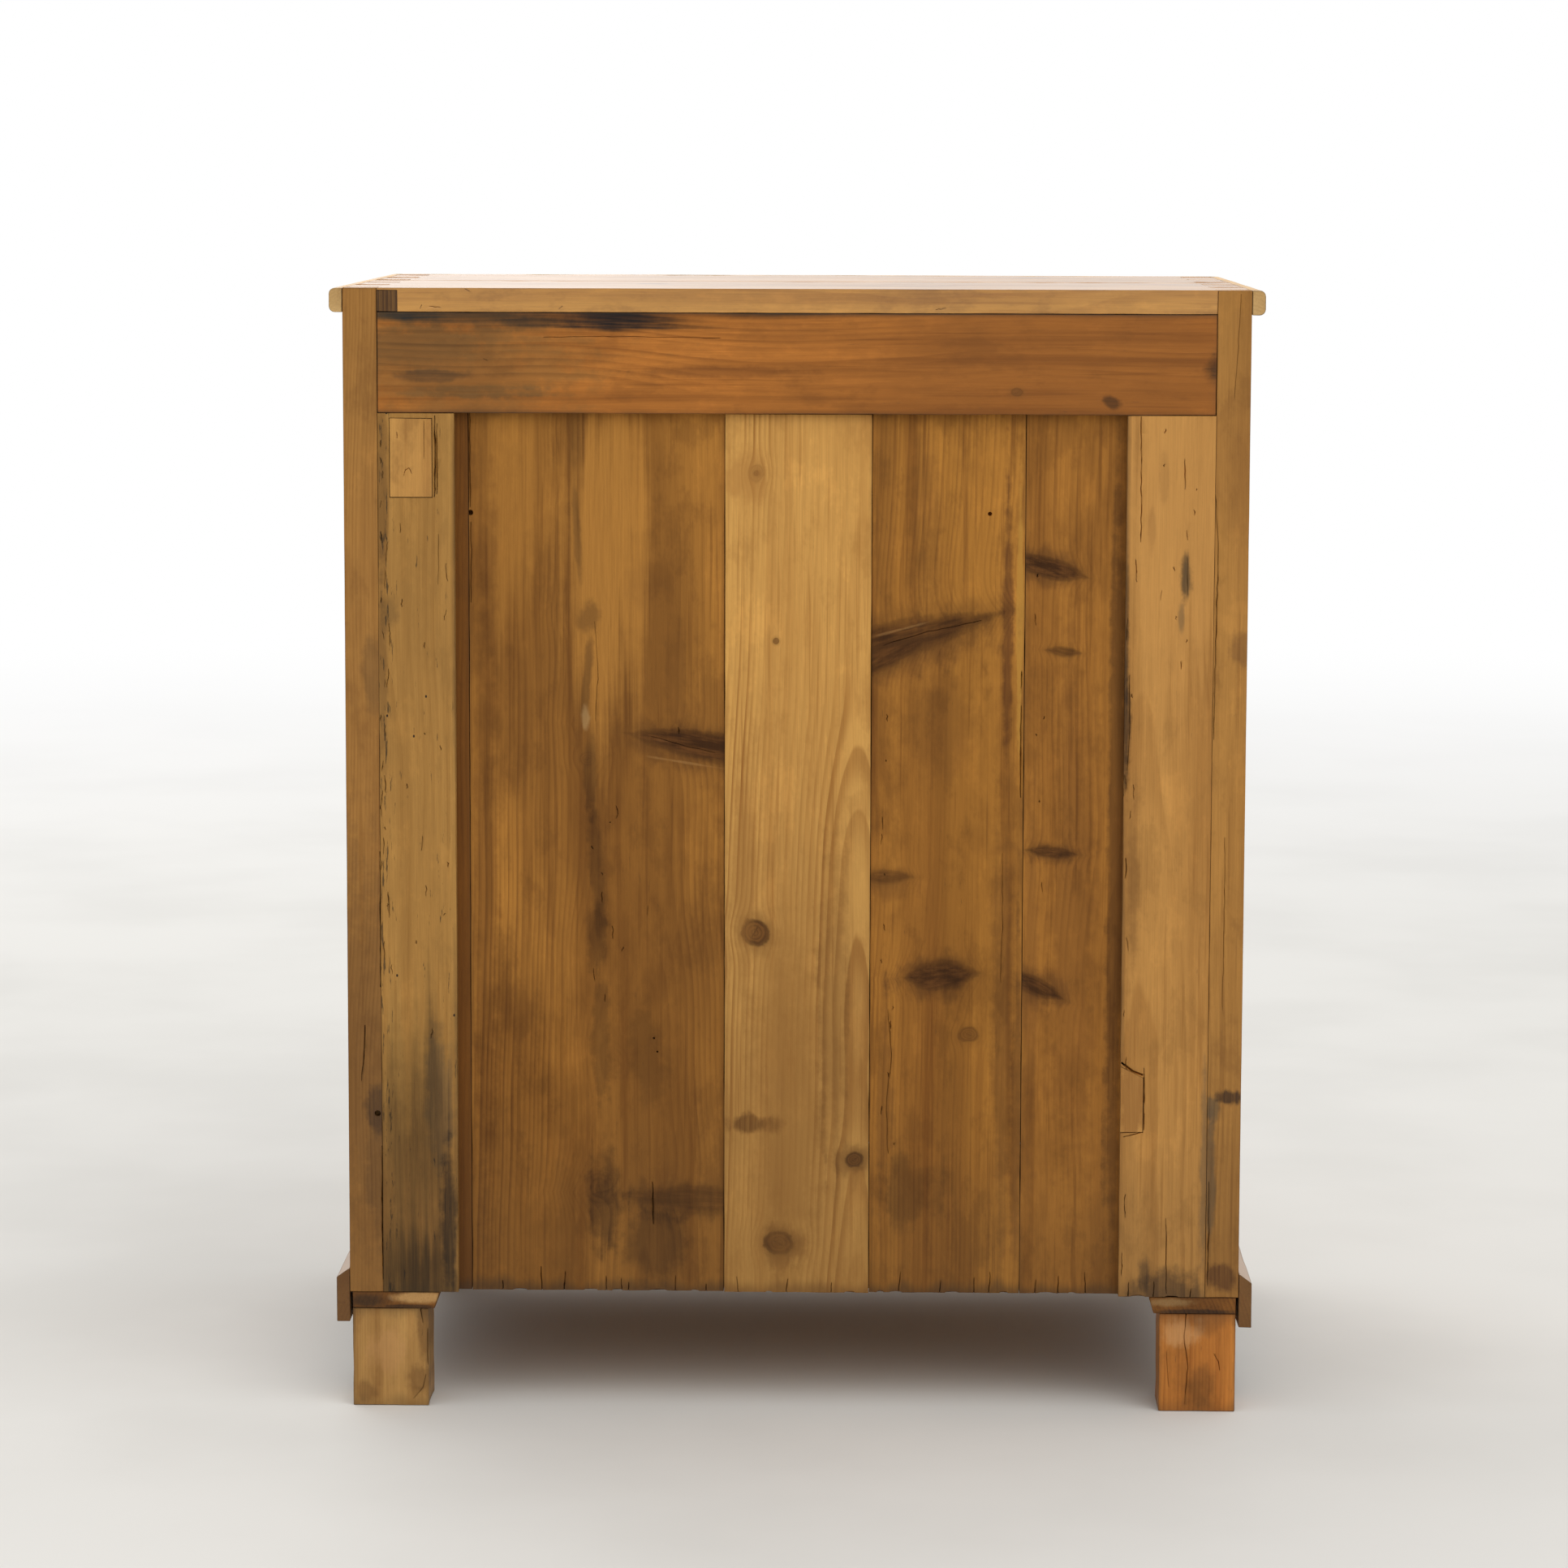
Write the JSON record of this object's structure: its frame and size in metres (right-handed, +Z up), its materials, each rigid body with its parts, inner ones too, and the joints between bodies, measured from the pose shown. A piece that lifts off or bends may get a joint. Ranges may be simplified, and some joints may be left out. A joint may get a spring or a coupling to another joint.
{
  "type": "sideboard",
  "caption": "Low pine sideboard on block feet: a full-width drawer over two panelled doors, a shelf inside, dovetailed case, framed board back, mitred mouldings.",
  "frame": {"origin": "on the floor, under the middle of the whole piece, knobs included", "axes": "+Z up, -Y towards the front with the doors, +X to the right as seen from the front"},
  "size_m": [0.74, 0.502, 0.905],
  "materials": {
    "case_pine": "waxed, hand planed, old honey colour",
    "rail_pine": "waxed, orange brown",
    "panel_pine": "dry, unwaxed, knotty brown",
    "new_pine": "new pale board, lightly waxed",
    "inner_pine": "bare, planed",
    "turned_pine": "turned and waxed",
    "hinge_steel": "dark, worn bright at the edges",
    "screw_steel": "dull, slotted",
    "lock_iron": "dark, a little rust",
    "old_brass": "aged, brown in the hollows"
  },
  "bodies": {
    "root": {"back_board_centre": "new_pine", "back_board_edge_strip": "panel_pine", "back_board_knotty": "panel_pine", "back_board_narrow": "panel_pine", "back_board_wide": "panel_pine", "back_rail": "rail_pine", "back_stile_left": "case_pine", "back_stile_right": "case_pine", "base_moulding_front": "case_pine", "base_moulding_left": "case_pine", "base_moulding_right": "case_pine", "bottom_board": "inner_pine", "drawer_guides": "inner_pine", "drawer_kickers": "inner_pine", "drawer_rail": "case_pine", "drawer_runners": "inner_pine", "drawer_stops": "inner_pine", "foot_bearers": "panel_pine", "frame_hinge_leaves": "hinge_steel", "frame_hinge_screws": "screw_steel", "front_bottom_rail": "case_pine", "front_feet": "case_pine", "front_stile_left": "case_pine", "front_stile_right": "case_pine", "front_top_rail": "case_pine", "hinge_pins": "hinge_steel", "rear_foot_left": "case_pine", "rear_foot_right": "case_pine", "repair_patches": "rail_pine", "shelf": "inner_pine", "shelf_cleats": "inner_pine", "side_left": "case_pine", "side_right": "case_pine", "top_board_front": "case_pine", "top_board_rear": "case_pine", "top_moulding_front": "case_pine", "top_moulding_left": "case_pine", "top_moulding_right": "case_pine"},
    "drawer": {"drawer_front": "case_pine", "drawer_side_left": "inner_pine", "drawer_side_right": "inner_pine", "drawer_back": "inner_pine", "drawer_bottom": "inner_pine", "drawer_knobs": "turned_pine"},
    "left_door": {"left_door_stiles": "case_pine", "left_door_rails": "case_pine", "left_door_panel": "case_pine", "left_door_hinge_leaves": "hinge_steel", "left_door_hinge_screws": "screw_steel", "slide_bolt_plate": "lock_iron"},
    "right_door": {"right_door_stiles": "case_pine", "right_door_rails": "case_pine", "right_door_panel": "case_pine", "right_door_hinge_leaves": "hinge_steel", "right_door_hinge_screws": "screw_steel", "lock_case": "lock_iron", "escutcheon": "old_brass"},
    "key": {"key": "lock_iron"},
    "lock_bolt": {"lock_bolt": "lock_iron"},
    "slide_bolt": {"slide_bolt_rod": "lock_iron"}
  },
  "joints": [
    {"name": "drawer_slide", "type": "slide", "parent": "root", "child": "drawer", "axis": [0, -1, 0], "range_m": [0, 0.3]},
    {"name": "left_door_hinge", "type": "hinge", "parent": "root", "child": "left_door", "pos_m": [-0.3, -0.221, 0.4125], "axis": [0, 0, -1], "range_deg": [0, 170]},
    {"name": "right_door_hinge", "type": "hinge", "parent": "root", "child": "right_door", "pos_m": [0.3, -0.221, 0.4125], "axis": [0, 0, 1], "range_deg": [0, 170]},
    {"name": "key_turn", "type": "hinge", "parent": "right_door", "child": "key", "pos_m": [0.0273, -0.217, 0.42], "axis": [0, -1, 0], "range_deg": [0, 360]},
    {"name": "lock_bolt_slide", "type": "slide", "parent": "right_door", "child": "lock_bolt", "axis": [-1, 0, 0], "range_m": [0, 0.009]},
    {"name": "slide_bolt_slide", "type": "slide", "parent": "left_door", "child": "slide_bolt", "axis": [0, 0, 1], "range_m": [0, 0.014]}
  ],
  "couplings": [
    {"joint": "key_turn", "follows": "lock_bolt_slide", "rad_per_m": 698}
  ]
}
